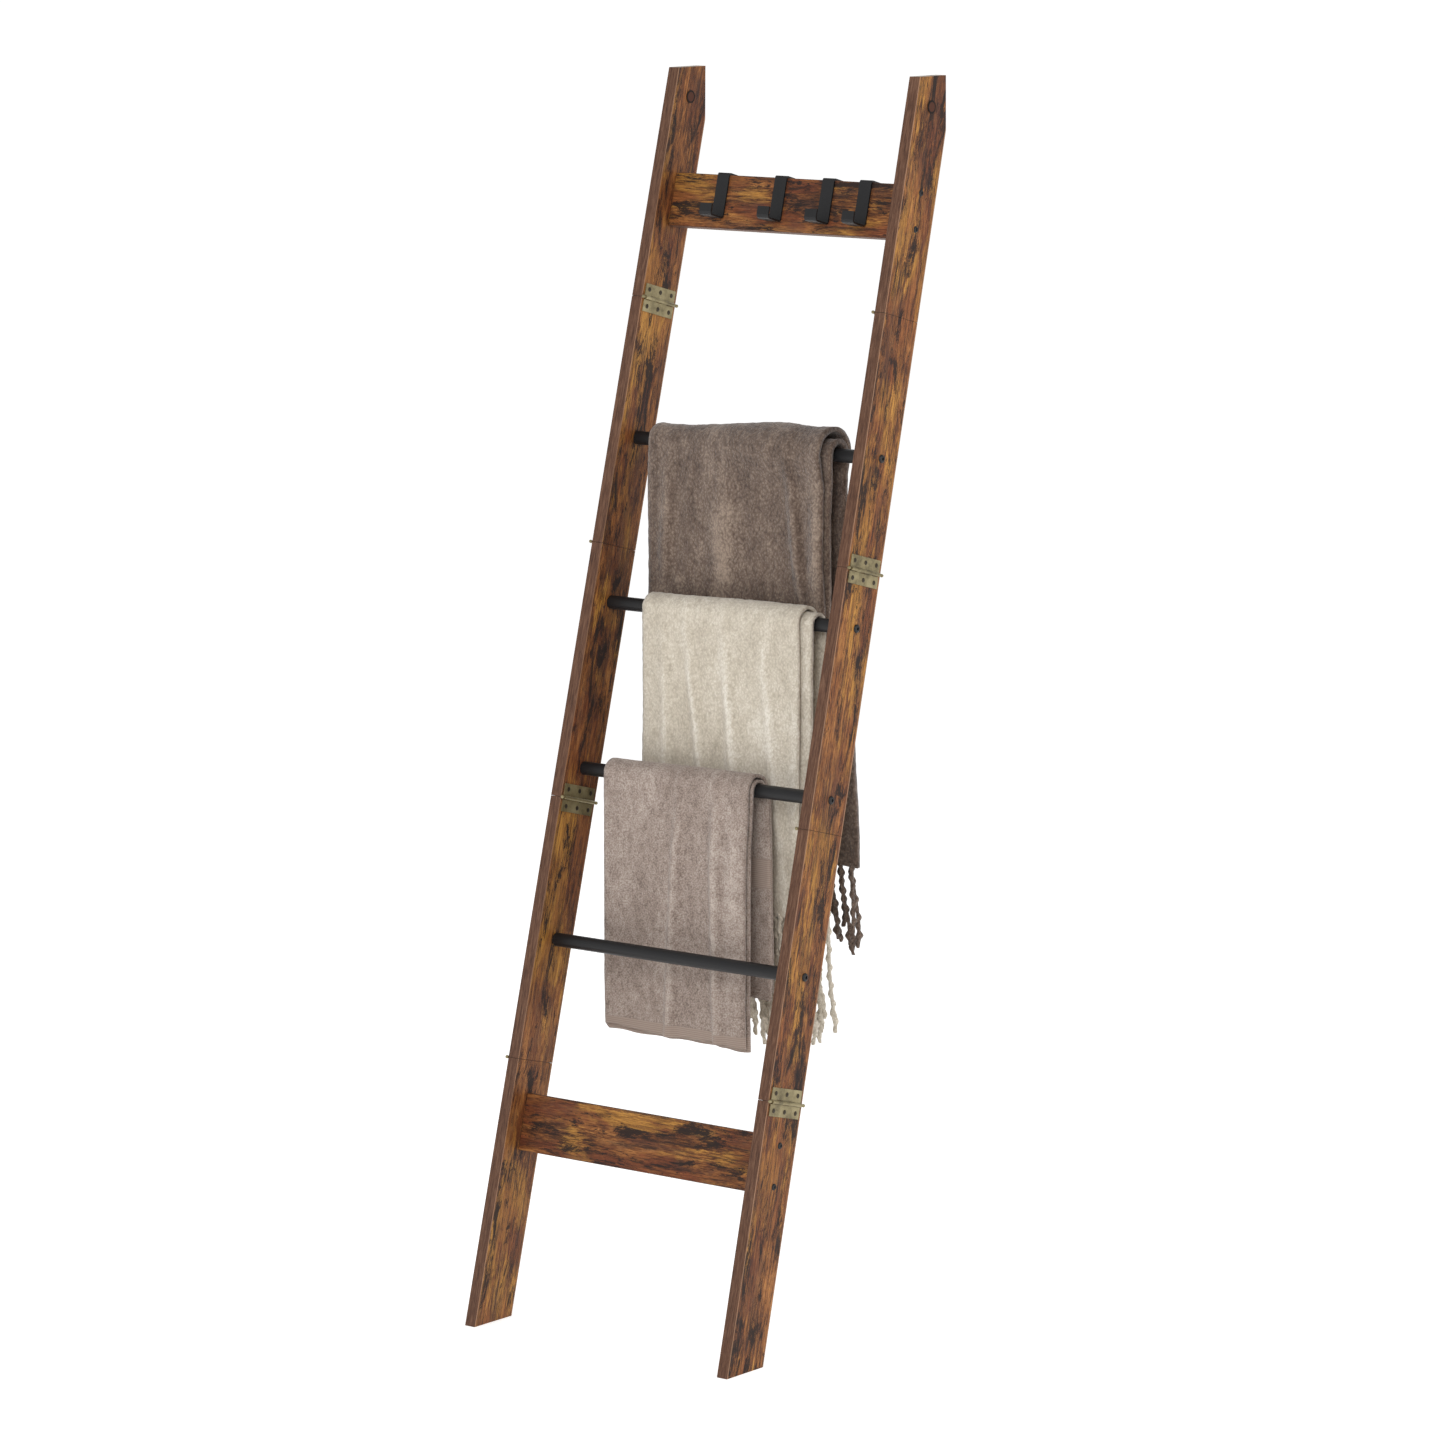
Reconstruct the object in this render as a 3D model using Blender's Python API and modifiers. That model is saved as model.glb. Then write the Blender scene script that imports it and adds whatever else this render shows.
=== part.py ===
"""Leaning blanket ladder with two throws and a bath towel over its rungs.

Metres, +X to the right, +Y back towards the wall, +Z up, origin on the floor
under the middle of the ladder. Each rail is five plank sections, joined by
butt hinges whose pins run from front to back, so an empty rail folds flat.
"""
import math

import bmesh
import bpy
from mathutils import Matrix, Vector

# Driving dimensions
HEIGHT = 1.800
LEAN = math.radians(14.4)
FOOT_HALF_WIDTH = 0.2410
TAPER = 0.00753
RAIL_THICK = 0.018
RAIL_WIDTH = 0.0806
TOP_CUT_DEPTH = 0.063
FRAME_DEPTH = HEIGHT * math.tan(LEAN) + TOP_CUT_DEPTH
MID_DEPTH = 0.0425
GAP = 0.0004
EDGE_ROUND = 0.0008

JOINTS = (0.3939, 0.7795, 1.1543, 1.5191)
JOINT_GAP = 0.0006
RUNGS = {"rung_low": 0.5736, "rung_mid_low": 0.8266, "rung_mid_high": 1.0725, "rung_high": 1.3164}
RUNG_RADIUS = 0.010
BOARDS = {"board_bottom": (0.2625, 0.3465), "board_top": (1.6305, 1.7095)}
BOARD_THICK = 0.018

LEAF_LONG = 0.070
LEAF_REACH = 0.0205
LEAF_THICK = 0.0012
BARREL_RADIUS = 0.0028
BARREL_STANDOFF = 0.0031
PIN_RADIUS = 0.0011
PIN_BORE = 0.0016
PIN_LONG = 0.080
PIN_BALL = 0.0026
KNUCKLES = 5

SCREW_RADIUS = 0.0030
SCREW_BORE = 0.0034
SCREW_IN_RUNG = 0.016
HEAD_RADIUS = 0.0062
HEAD_HEIGHT = 0.0026
SOCKET_RADIUS = 0.0025
CAP_RADIUS = 0.0095
CAP_HEIGHT = 0.0008
CAP_PLACE = (0.0375, 1.8230)

HOOK_WIDTH = 0.021
HOOK_THICK = 0.0025
HOOK_DROP = 0.064
HOOK_REACH = 0.030
HOOK_LIP = 0.016
HOOK_TAIL = 0.030
HOOK_BEND = 0.004
HOOK_TOP_BEND = 0.0022
HOOK_PLAY = 0.0006
HOOK_PLACES = {"hook_a": -0.120, "hook_b": -0.015, "hook_c": 0.071, "hook_d": 0.1375}

# Cloth on its rung: rung, left and right ends in X, thickness, front and back hems in Z
CLOTHS = {
    "throw_dark": ("rung_high", -0.172, 0.167, 0.022, 0.915, 0.661),
    "throw_cream": ("rung_mid_high", -0.141, 0.176, 0.013, 0.603, 0.624),
    "towel": ("rung_mid_low", -0.165, 0.121, 0.013, 0.413, 0.491),
}

COLOURS = {
    "wood": ((0.26, 0.11, 0.045), 0.55, 0.0),
    "black_steel": ((0.02, 0.02, 0.021), 0.45, 0.9),
    "bronze": ((0.24, 0.20, 0.12), 0.42, 0.9),
    "cap_brown": ((0.16, 0.07, 0.035), 0.5, 0.0),
    "dark_plush": ((0.14, 0.09, 0.07), 0.95, 0.0),
    "cream_plush": ((0.60, 0.55, 0.46), 0.95, 0.0),
    "towel_terry": ((0.37, 0.30, 0.26), 0.95, 0.0),
}

for old in list(bpy.data.objects):
    bpy.data.objects.remove(old, do_unlink=True)

ladder = bpy.data.collections.new("blanket_ladder")
cutters = bpy.data.collections.new("cutters")
bpy.context.scene.collection.children.link(ladder)
bpy.context.scene.collection.children.link(cutters)


def material(name):
    mat = bpy.data.materials.get(name)
    if mat is None:
        mat = bpy.data.materials.new(name)
        mat.use_nodes = True
        shader = mat.node_tree.nodes["Principled BSDF"]
        colour, rough, metal = COLOURS[name]
        shader.inputs["Base Color"].default_value = (*colour, 1)
        shader.inputs["Roughness"].default_value = rough
        shader.inputs["Metallic"].default_value = metal
    return mat


def add_object(name, mesh, finish, parent, place=(0, 0, 0), turn=(0, 0, 0)):
    obj = bpy.data.objects.new(name, mesh)
    ladder.objects.link(obj)
    if finish and not mesh.materials:
        mesh.materials.append(material(finish))
    obj.parent = parent
    obj.location = place
    obj.rotation_euler = turn
    return obj


def add_cutter(name, mesh, parent, place=(0, 0, 0), turn=(0, 0, 0)):
    obj = bpy.data.objects.new(name, mesh)
    cutters.objects.link(obj)
    obj.parent = parent
    obj.location = place
    obj.rotation_euler = turn
    obj.hide_render = True
    obj.display_type = "WIRE"
    return obj


def new_mesh(name, bm):
    bmesh.ops.recalc_face_normals(bm, faces=bm.faces)
    mesh = bpy.data.meshes.new(name)
    bm.to_mesh(mesh)
    bm.free()
    return mesh


def box_mesh(name, low, high):
    bm = bmesh.new()
    add_box(bm, low, high)
    return new_mesh(name, bm)


def add_box(bm, low, high):
    low, high = Vector(low), Vector(high)
    place = Matrix.Translation((low + high) / 2) @ Matrix.Diagonal((*(high - low), 1))
    bmesh.ops.create_cube(bm, size=1, matrix=place)


def add_rod(bm, radius, length, axis, centre=(0, 0, 0), sides=16):
    turn = {"X": Matrix.Rotation(math.pi / 2, 4, "Y"), "Y": Matrix.Rotation(math.pi / 2, 4, "X"),
            "Z": Matrix.Identity(4)}[axis]
    place = Matrix.Translation(centre) @ turn
    bmesh.ops.create_cone(bm, cap_ends=True, segments=sides, radius1=radius, radius2=radius,
                          depth=length, matrix=place)


def rod_mesh(name, radius, length, axis, sides=16):
    bm = bmesh.new()
    add_rod(bm, radius, length, axis, sides=sides)
    return new_mesh(name, bm)


def smooth(mesh):
    mesh.shade_smooth()
    mesh.set_sharp_from_angle(angle=math.radians(35))


def boolean(obj, other, operation="DIFFERENCE"):
    mod = obj.modifiers.new(other.name, "BOOLEAN")
    mod.object = other
    mod.operation = operation
    mod.solver = "EXACT"


def round_edges(obj, width=EDGE_ROUND):
    mod = obj.modifiers.new("round_edges", "BEVEL")
    mod.width = width
    mod.segments = 1
    mod.limit_method = "ANGLE"


def baked(obj, name):
    """The evaluated mesh of a modelled piece, so that its copies can share it."""
    bpy.context.view_layer.update()
    evaluated = obj.evaluated_get(bpy.context.evaluated_depsgraph_get())
    mesh = bpy.data.meshes.new_from_object(evaluated)
    mesh.name = name
    mesh.materials.clear()
    bpy.data.objects.remove(obj, do_unlink=True)
    return mesh


def turned_mesh(name, outline, sides):
    """A closed turned shape about Z from its outer side, top to bottom, on the axis at both ends."""
    bm = bmesh.new()
    points = [bm.verts.new((radius, 0, height)) for radius, height in outline]
    for first, second in zip(points, points[1:]):
        bm.edges.new((first, second))
    mesh = bpy.data.meshes.new(name + "_outline")
    bm.to_mesh(mesh)
    bm.free()
    obj = bpy.data.objects.new(name + "_turned", mesh)
    cutters.objects.link(obj)
    screw = obj.modifiers.new("turn", "SCREW")
    screw.steps = sides
    screw.render_steps = sides
    screw.use_merge_vertices = True
    screw.merge_threshold = 0.00005
    return baked(obj, name)


# The whole ladder leans back about its front foot edges
lean = bpy.data.objects.new("lean", None)
ladder.objects.link(lean)
lean.location = (0, -FRAME_DEPTH / 2, 0)
lean.rotation_euler = (-LEAN, 0, 0)


def inner_half(along):
    """Half the clear width between the rails at a distance along them."""
    return FOOT_HALF_WIDTH - TAPER * along - RAIL_THICK


def rail_line(side):
    """An empty on a rail's middle plane; its Z runs up along the rail."""
    empty = bpy.data.objects.new("rail_line_" + side, None)
    ladder.objects.link(empty)
    empty.parent = lean
    sign = -1 if side == "left" else 1
    empty.location = (sign * (FOOT_HALF_WIDTH - RAIL_THICK / 2), 0, 0)
    empty.rotation_euler = (0, -sign * math.atan(TAPER), 0)
    return empty


rails = {side: rail_line(side) for side in ("left", "right")}
bpy.context.view_layer.update()


def cut_away(bm, to_world, point, normal):
    """Saw a plank along a world plane and close the cut."""
    to_local = to_world.inverted()
    plane = bmesh.ops.bisect_plane(
        bm, geom=bm.verts[:] + bm.edges[:] + bm.faces[:], dist=1e-7, plane_co=to_local @ Vector(point),
        plane_no=to_local.to_3x3() @ Vector(normal), clear_outer=True)
    edges = [part for part in plane["geom_cut"] if isinstance(part, bmesh.types.BMEdge)]
    if edges:
        bmesh.ops.edgeloop_fill(bm, edges=edges)


def screw_bore(side, rung):
    """The clearance hole for a rung's end screw, through a rail."""
    sign = -1 if side == "left" else 1
    name = "bore_" + rung + "_" + side
    along = RUNGS[rung]
    mesh = rod_mesh(name, SCREW_BORE, 3 * RAIL_THICK, "X")
    return add_cutter(name, mesh, lean, (sign * (inner_half(along) + RAIL_THICK / 2), MID_DEPTH, along))


def rail_section(side, index):
    """One plank of a rail, between two hinge joints."""
    stops = (-0.04, *JOINTS, HEIGHT / math.cos(LEAN) + 0.04)
    low = stops[index] + (JOINT_GAP / 2 if index else 0)
    high = stops[index + 1] - (JOINT_GAP / 2 if index < len(JOINTS) else 0)
    bm = bmesh.new()
    half = RAIL_THICK / 2
    add_box(bm, (-half, 0, low), (half, RAIL_WIDTH, high))
    to_world = rails[side].matrix_world
    if index == 0:
        cut_away(bm, to_world, (0, 0, 0), (0, 0, -1))
    if index == len(JOINTS):
        cut_away(bm, to_world, (0, 0, HEIGHT), (0, 0, 1))
        cut_away(bm, to_world, (0, FRAME_DEPTH / 2, 0), (0, 1, 0))
    name = "rail_" + side + "_section_" + str(index + 1)
    obj = add_object(name, new_mesh(name, bm), "wood", rails[side])
    for rung, along in RUNGS.items():
        if low < along < high:
            boolean(obj, screw_bore(side, rung))
    return obj


def board(name, low, high):
    """A plank between the rails, its ends cut to their taper."""
    bm = bmesh.new()
    front = MID_DEPTH - BOARD_THICK / 2
    add_box(bm, (-1, front, low), (1, front + BOARD_THICK, high))
    for vert in bm.verts:
        vert.co.x *= inner_half(vert.co.z) - GAP
    obj = add_object(name, new_mesh(name, bm), "wood", lean)
    round_edges(obj)


def rung(name, along):
    """A round tube end to end between the rails, with a blind screw hole in each end."""
    half = inner_half(along) - GAP - 0.0002
    depth = SCREW_IN_RUNG + 0.004
    chamfer = 0.0006
    outline = [(0, half - depth), (SCREW_BORE, half - depth), (SCREW_BORE, half),
               (RUNG_RADIUS - chamfer, half), (RUNG_RADIUS, half - chamfer)]
    outline = outline + [(radius, -height) for radius, height in reversed(outline)]
    mesh = turned_mesh(name, outline, 24)
    smooth(mesh)
    add_object(name, mesh, "black_steel", lean, (0, MID_DEPTH, along), (0, math.pi / 2, 0))


def rung_screw_mesh():
    """A low button head with a hexagon socket, on a plain shank."""
    shank_end = -(RAIL_THICK + SCREW_IN_RUNG)
    outline = [(0, HEAD_HEIGHT), (HEAD_RADIUS * 0.62, HEAD_HEIGHT), (HEAD_RADIUS * 0.9, HEAD_HEIGHT * 0.6),
               (HEAD_RADIUS, 0), (SCREW_RADIUS, 0), (SCREW_RADIUS, shank_end), (0, shank_end)]
    mesh = turned_mesh("screw_body", outline, 20)
    blank = bpy.data.objects.new("screw_blank", mesh)
    cutters.objects.link(blank)
    socket = add_cutter("hex_socket", rod_mesh("hex_socket", SOCKET_RADIUS, 0.0036, "Z", 6), None,
                        (0, 0, HEAD_HEIGHT))
    boolean(blank, socket)
    mesh = baked(blank, "rung_screw")
    smooth(mesh)
    return mesh


def hinge_leaf_mesh(name, own):
    """A hinge leaf with its own knuckles; X off the face, Y along the pin, Z away from the joint."""
    pitch = LEAF_LONG / KNUCKLES
    start = 0.0008
    mesh = box_mesh(name, (GAP / 2, -LEAF_LONG / 2, start), (GAP / 2 + LEAF_THICK, LEAF_LONG / 2, LEAF_REACH))
    leaf = bpy.data.objects.new(name, mesh)
    cutters.objects.link(leaf)
    notches = bmesh.new()
    barrels = bmesh.new()
    for index in range(KNUCKLES):
        middle = (index - (KNUCKLES - 1) / 2) * pitch
        if index in own:
            add_rod(barrels, BARREL_RADIUS, pitch - GAP, "Y", (BARREL_STANDOFF, middle, 0), 12)
        else:
            reach = pitch / 2 + (0.002 if index in (0, KNUCKLES - 1) else GAP / 2)
            add_box(notches, (-0.002, middle - reach, -0.001), (0.004, middle + reach, 0.0033))
    boolean(leaf, add_cutter(name + "_notches", new_mesh("notches", notches), None))
    boolean(leaf, add_cutter(name + "_barrels", new_mesh("barrels", barrels), None), "UNION")
    bore = rod_mesh("pin_bore", PIN_BORE, 2 * LEAF_LONG, "Y", 10)
    boolean(leaf, add_cutter(name + "_bore", bore, None, (BARREL_STANDOFF, 0, 0)))
    mesh = baked(leaf, name)
    return mesh


def hinge_pin_mesh():
    """A straight pin with a ball on each end."""
    middle = PIN_LONG / 2
    arc = [math.radians(angle) for angle in range(0, 151, 30)]
    top = [(PIN_BALL * math.sin(angle), middle + PIN_BALL * math.cos(angle)) for angle in arc]
    top.append((PIN_RADIUS, middle - PIN_BALL * 0.92))
    outline = top + [(radius, -height) for radius, height in reversed(top)]
    mesh = turned_mesh("hinge_pin", outline, 10)
    smooth(mesh)
    return mesh


UPPER_LEAF = hinge_leaf_mesh("upper_leaf", (0, 2, 4))
LOWER_LEAF = hinge_leaf_mesh("lower_leaf", (1, 3))
PIN = hinge_pin_mesh()
SCREW = rung_screw_mesh()


def hinge(side, index):
    """Joints two and four from the floor carry the hinge inside, one and three outside."""
    outside = index % 2 == 0
    sign = (-1 if side == "left" else 1) * (1 if outside else -1)
    face = sign * RAIL_THICK / 2
    middle = RAIL_WIDTH / 2
    along = JOINTS[index]
    turn = 0 if sign > 0 else math.pi
    name = "hinge_" + side + "_" + str(index + 1)
    place = (face, middle, along)
    add_object(name + "_upper_leaf", UPPER_LEAF, "bronze", rails[side], place, (0, 0, turn))
    flipped = (math.pi, 0, 0) if sign > 0 else (0, math.pi, 0)
    add_object(name + "_lower_leaf", LOWER_LEAF, "bronze", rails[side], place, flipped)
    axis = (face + sign * BARREL_STANDOFF, middle, along)
    add_object(name + "_pin", PIN, "bronze", rails[side], axis, (math.pi / 2, 0, 0))


def rung_screw(side, rung_name, along):
    sign = -1 if side == "left" else 1
    outer = sign * (inner_half(along) + RAIL_THICK + GAP)
    add_object("screw_" + rung_name + "_" + side, SCREW, "black_steel", lean, (outer, MID_DEPTH, along),
               (0, sign * math.pi / 2, 0))


def cover_cap(side):
    """A round cap over the fixing hole, on each rail's right-hand face."""
    depth, along = CAP_PLACE
    mesh = rod_mesh("cover_cap_" + side, CAP_RADIUS, CAP_HEIGHT, "X", 24)
    place = (RAIL_THICK / 2 + CAP_HEIGHT / 2 + GAP, depth, along)
    add_object("cover_cap_" + side, mesh, "cap_brown", rails[side], place)


def bend(centre, start, stop, radius, steps=3):
    """Points of a round bend in the depth and height plane; angles in degrees from +depth."""
    turns = [math.radians(start + (stop - start) * step / steps) for step in range(steps + 1)]
    return [(centre[0] + radius * math.cos(a), centre[1] + radius * math.sin(a)) for a in turns]


def hook_mesh():
    """A flat bar bent over the board, down its front, forward and up into a lip."""
    half = HOOK_THICK / 2
    back = BOARD_THICK / 2 + HOOK_PLAY + half
    over = HOOK_PLAY + half
    radius = HOOK_BEND
    corner = HOOK_TOP_BEND
    bottom = -HOOK_DROP
    path = [(back, -HOOK_TAIL)]
    path += bend((back - corner, over - corner), 0, 90, corner)
    path += bend((-back + corner, over - corner), 90, 180, corner)
    path += bend((-back - radius, bottom + radius), 0, -90, radius)
    path += bend((-back - HOOK_REACH + radius, bottom + radius), -90, -180, radius)
    path += [(-back - HOOK_REACH, bottom + HOOK_LIP)]
    bm = bmesh.new()
    verts = [bm.verts.new((-HOOK_WIDTH / 2, depth, height)) for depth, height in path]
    edges = [bm.edges.new(pair) for pair in zip(verts, verts[1:])]
    swept = bmesh.ops.extrude_edge_only(bm, edges=edges)
    moved = [part for part in swept["geom"] if isinstance(part, bmesh.types.BMVert)]
    bmesh.ops.translate(bm, vec=(HOOK_WIDTH, 0, 0), verts=moved)
    mesh = bpy.data.meshes.new("hook_strip")
    bm.to_mesh(mesh)
    bm.free()
    obj = bpy.data.objects.new("hook_blank", mesh)
    cutters.objects.link(obj)
    solid = obj.modifiers.new("bar", "SOLIDIFY")
    solid.thickness = HOOK_THICK
    solid.offset = 0
    solid.use_even_offset = True
    return baked(obj, "hook")


def cloth_solid(name, rung_name, left, right, thick, front_hem, back_hem):
    """The room a folded cloth takes: two hanging panels joined by a half round over the rung."""
    along = RUNGS[rung_name]
    centre = lean.matrix_world @ Vector((0, MID_DEPTH, along))
    inner = RUNG_RADIUS + 0.0006
    outer = inner + thick
    steps = 8
    arc = [math.pi * step / steps for step in range(steps + 1)]
    outline = [(-outer, front_hem - centre.z)]
    outline += [(-outer * math.cos(a), outer * math.sin(a)) for a in arc]
    outline += [(outer, back_hem - centre.z), (inner, back_hem - centre.z)]
    outline += [(inner * math.cos(a), inner * math.sin(a)) for a in arc]
    outline += [(-inner, front_hem - centre.z)]
    bm = bmesh.new()
    ring = [bm.verts.new((0, depth, height)) for depth, height in outline]
    face = bm.faces.new(ring)
    swept = bmesh.ops.extrude_face_region(bm, geom=[face], use_keep_orig=True)
    moved = [part for part in swept["geom"] if isinstance(part, bmesh.types.BMVert)]
    bmesh.ops.translate(bm, vec=(right - left, 0, 0), verts=moved)
    bmesh.ops.triangulate(bm, faces=bm.faces)
    finish = {"throw_dark": "dark_plush", "throw_cream": "cream_plush", "towel": "towel_terry"}[name]
    add_object(name, new_mesh(name, bm), finish, None, (left, centre.y, centre.z))


for side in rails:
    for section in range(len(JOINTS) + 1):
        rail_section(side, section)
    for joint in range(len(JOINTS)):
        hinge(side, joint)
    cover_cap(side)
for board_name, (low, high) in BOARDS.items():
    board(board_name, low, high)
for rung_name, along in RUNGS.items():
    rung(rung_name, along)
    for side in rails:
        rung_screw(side, rung_name, along)
HOOK = hook_mesh()
for hook_name, across in HOOK_PLACES.items():
    add_object(hook_name, HOOK, "black_steel", lean, (across, MID_DEPTH, BOARDS["board_top"][1]))
for cloth_name, sizes in CLOTHS.items():
    cloth_solid(cloth_name, *sizes)
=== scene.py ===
"""The finished look of a leaning blanket ladder hung with two throws and a towel."""
import math
import random

import bmesh
import bpy
from mathutils import Matrix, Vector, noise


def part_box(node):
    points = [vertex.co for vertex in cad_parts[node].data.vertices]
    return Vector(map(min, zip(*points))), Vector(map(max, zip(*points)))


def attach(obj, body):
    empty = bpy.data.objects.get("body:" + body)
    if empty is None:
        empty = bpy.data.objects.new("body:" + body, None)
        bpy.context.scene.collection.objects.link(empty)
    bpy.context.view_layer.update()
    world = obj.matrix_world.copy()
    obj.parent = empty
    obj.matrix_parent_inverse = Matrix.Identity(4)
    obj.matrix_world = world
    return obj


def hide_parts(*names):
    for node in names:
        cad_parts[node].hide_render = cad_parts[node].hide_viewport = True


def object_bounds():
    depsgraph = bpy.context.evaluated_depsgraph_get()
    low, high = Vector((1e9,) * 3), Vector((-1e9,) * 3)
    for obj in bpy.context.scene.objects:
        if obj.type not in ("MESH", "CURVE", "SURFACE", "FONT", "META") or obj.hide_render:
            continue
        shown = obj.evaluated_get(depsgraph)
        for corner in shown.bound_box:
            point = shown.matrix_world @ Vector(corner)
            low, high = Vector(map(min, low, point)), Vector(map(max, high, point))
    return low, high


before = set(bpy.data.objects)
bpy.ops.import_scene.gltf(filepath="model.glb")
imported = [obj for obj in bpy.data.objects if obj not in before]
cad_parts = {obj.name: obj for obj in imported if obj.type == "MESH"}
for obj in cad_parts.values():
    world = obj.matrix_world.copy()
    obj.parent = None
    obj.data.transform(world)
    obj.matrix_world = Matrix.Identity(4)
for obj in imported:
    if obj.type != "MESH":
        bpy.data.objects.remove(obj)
cad_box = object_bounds()


# Setting: a pale floor and even studio light, seen from the front right and
# a little above the top of the ladder.
def area_light(name, place, aim, size, power):
    lamp = bpy.data.lights.new(name, "AREA")
    lamp.shape = "SQUARE"
    lamp.size = size
    lamp.energy = power
    obj = bpy.data.objects.new(name, lamp)
    bpy.context.scene.collection.objects.link(obj)
    obj.location = place
    obj.rotation_euler = (Vector(aim) - Vector(place)).to_track_quat("-Z", "Y").to_euler()


camera_data = bpy.data.cameras.new("camera")
camera_data.lens = 150.06
camera_data.clip_end = 60
camera = bpy.data.objects.new("camera", camera_data)
bpy.context.scene.collection.objects.link(camera)
camera.location = (5.2845, -6.7261, 2.2396)
camera.rotation_euler = (math.radians(90 - 9.054), 0, math.radians(38.008))
bpy.context.scene.camera = camera

area_light("key", (1.8, -3.4, 3.2), (0, 0, 0.9), 2.0, 62)
area_light("side", (4.0, 0.6, 2.2), (0, 0, 0.9), 2.0, 34)
area_light("fill", (-3.2, -2.2, 1.6), (0, 0, 0.8), 2.6, 10)
area_light("back", (-1.2, 3.2, 2.6), (0, 0, 1.0), 2.4, 16)
world = bpy.data.worlds.new("studio")
bpy.context.scene.world = world
world.use_nodes = True
world.node_tree.nodes["Background"].inputs["Color"].default_value = (1, 1, 1, 1)
world.node_tree.nodes["Background"].inputs["Strength"].default_value = 0.58
bpy.context.scene.view_settings.view_transform = "Standard"


class Socket:
    """An output socket; arithmetic on it adds Math nodes."""

    def __init__(self, tree, output):
        self.tree = tree
        self.output = output

    def math(self, operation, *values):
        node = self.tree.nodes.new("ShaderNodeMath")
        node.operation = operation
        for place, value in zip(node.inputs, values):
            connect(self.tree, place, value)
        return Socket(self.tree, node.outputs[0])

    def __add__(self, other):
        return self.math("ADD", self, other)

    def __radd__(self, other):
        return self.math("ADD", other, self)

    def __sub__(self, other):
        return self.math("SUBTRACT", self, other)

    def __rsub__(self, other):
        return self.math("SUBTRACT", other, self)

    def __mul__(self, other):
        return self.math("MULTIPLY", self, other)

    def __rmul__(self, other):
        return self.math("MULTIPLY", other, self)

    def __truediv__(self, other):
        return self.math("DIVIDE", self, other)

    def __abs__(self):
        return self.math("ABSOLUTE", self)


def connect(tree, place, value):
    if isinstance(value, Socket):
        tree.links.new(value.output, place)
    else:
        place.default_value = value


def shade(red, green, blue):
    """A paint-chart colour, 0 to 255, as linear light."""
    return (*(((part / 255 + 0.055) / 1.055) ** 2.4 for part in (red, green, blue)), 1)


class Finish:
    """A node material around one Principled shader."""

    def __init__(self, name, **constants):
        self.material = bpy.data.materials.new(name)
        self.material.use_nodes = True
        self.tree = self.material.node_tree
        self.shader = self.tree.nodes["Principled BSDF"]
        for socket, value in constants.items():
            self.shader.inputs[socket.replace("_", " ")].default_value = value

    def add(self, kind, settings=None, sockets=None, output=0):
        node = self.tree.nodes.new("ShaderNode" + kind)
        for name, value in (settings or {}).items():
            setattr(node, name, value)
        for name, value in (sockets or {}).items():
            connect(self.tree, node.inputs[name], value)
        return Socket(self.tree, node.outputs[output])

    def place(self, turn=(0, 0, 0), shift=(0, 0, 0)):
        where = self.add("TexCoord", output="Object")
        return self.add("Mapping", None, {"Vector": where, "Rotation": turn, "Location": shift})

    def stretched(self, vector, factors):
        return self.add("VectorMath", {"operation": "MULTIPLY"}, {0: vector, 1: factors})

    def noise(self, vector, scale, detail=3.0, rough=0.55, twist=0.0):
        return self.add("TexNoise", None, {"Vector": vector, "Scale": scale, "Detail": detail,
                                           "Roughness": rough, "Distortion": twist})

    def step(self, value, low, high):
        return self.add("MapRange", {"interpolation_type": "SMOOTHSTEP"},
                        {"Value": value, "From Min": low, "From Max": high})

    def mix(self, factor, first, second):
        return self.add("Mix", {"data_type": "RGBA"}, {0: factor, 6: first, 7: second}, 2)

    def ramp(self, value, stops):
        node = self.tree.nodes.new("ShaderNodeValToRGB")
        points = node.color_ramp.elements
        while len(points) < len(stops):
            points.new(0.5)
        for point, (position, colour) in zip(points, stops):
            point.position = position
            point.color = colour
        connect(self.tree, node.inputs[0], value)
        return Socket(self.tree, node.outputs[0])

    def set(self, **links):
        for socket, value in links.items():
            connect(self.tree, self.shader.inputs[socket.replace("_", " ")], value)

    def bump(self, height, distance, strength=1.0):
        sockets = {"Height": height, "Distance": distance, "Strength": strength}
        self.set(Normal=self.add("Bump", None, sockets))


FLOOR_HALF = 150
floor_mesh = bmesh.new()
bmesh.ops.create_grid(floor_mesh, x_segments=1, y_segments=1, size=FLOOR_HALF)
floor_data = bpy.data.meshes.new("floor")
floor_mesh.to_mesh(floor_data)
floor_mesh.free()
floor = bpy.data.objects.new("floor", floor_data)
bpy.context.scene.collection.objects.link(floor)
floor.location.z = -0.0005
floor_finish = Finish("pale_floor", Roughness=0.9, Emission_Strength=0.5)
floor_tone = floor_finish.noise(floor_finish.place(), 3)
floor_finish.set(Base_Color=floor_finish.mix(floor_tone, (0.93, 0.93, 0.93, 1), (0.95, 0.95, 0.95, 1)))
floor_data.materials.append(floor_finish.material)

# Planks: particle board wrapped in a printed rustic brown foil, with a plainer
# edge band, and a thin painted highlight line where the wide faces meet the narrow ones.
LEAN = math.radians(14.4)
HALF_DEPTH = cad_box[1][1]
PLANK_WIDTH = 0.0806
LINE_WIDTH = 0.0019


def coat(start, finish):
    """Give a finish to every CAD node whose name starts so."""
    for name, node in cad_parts.items():
        if name.startswith(start):
            node.data.materials.clear()
            node.data.materials.append(finish.material)


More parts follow.
